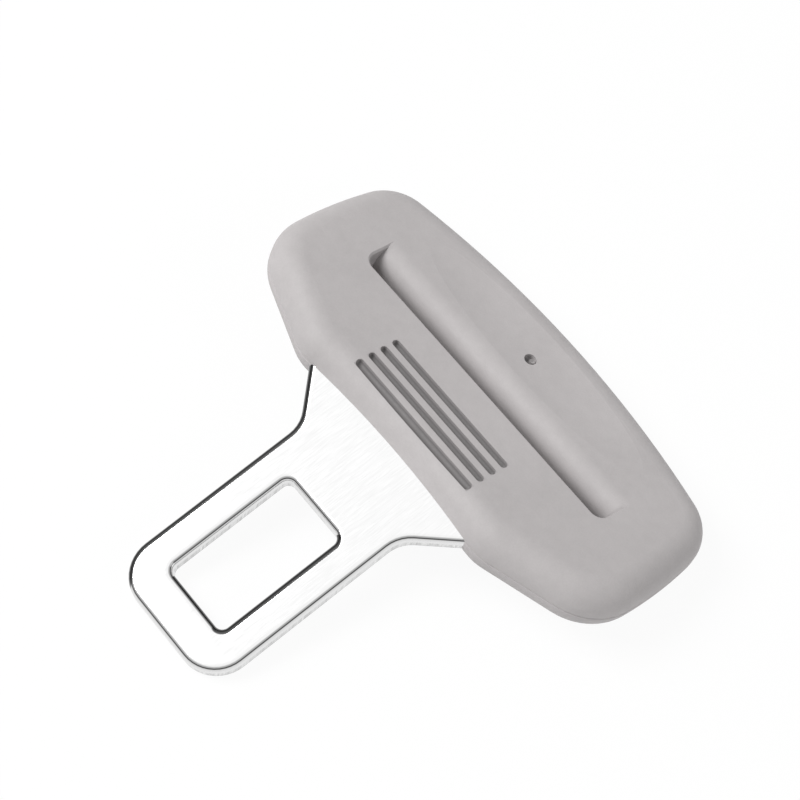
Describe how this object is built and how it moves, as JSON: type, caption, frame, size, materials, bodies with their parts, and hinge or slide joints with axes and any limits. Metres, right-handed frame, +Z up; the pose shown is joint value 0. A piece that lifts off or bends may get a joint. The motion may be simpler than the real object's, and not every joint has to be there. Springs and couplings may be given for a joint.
{
  "type": "seat belt tongue clip",
  "caption": "Flat steel belt tongue with a latch window, bent 25 degrees from a two-part moulded grip that has a rolled webbing slot and finger grooves.",
  "frame": {"origin": "on the ground that the clip lies on, under the middle of the bounding box", "axes": "+X along the grip, +Y from the tip of the tongue to the far edge of the grip, +Z up, on the side of the grooved face. The clip lies like a low roof, on the tip of the tongue and the far edge of the grip: the grip leans 12.3 degrees and the tongue 12.7 degrees from level."},
  "size_m": [0.075, 0.074, 0.0147],
  "materials": {
    "plated_steel": "bright plated sheet with a fine brushed grain on its faces",
    "grip_plastic": "warm grey moulded plastic with a fine matt spark texture"
  },
  "bodies": {
    "root": {"latch_plate": "plated_steel", "front_shell": "grip_plastic", "rear_shell": "grip_plastic"}
  },
  "joints": []
}
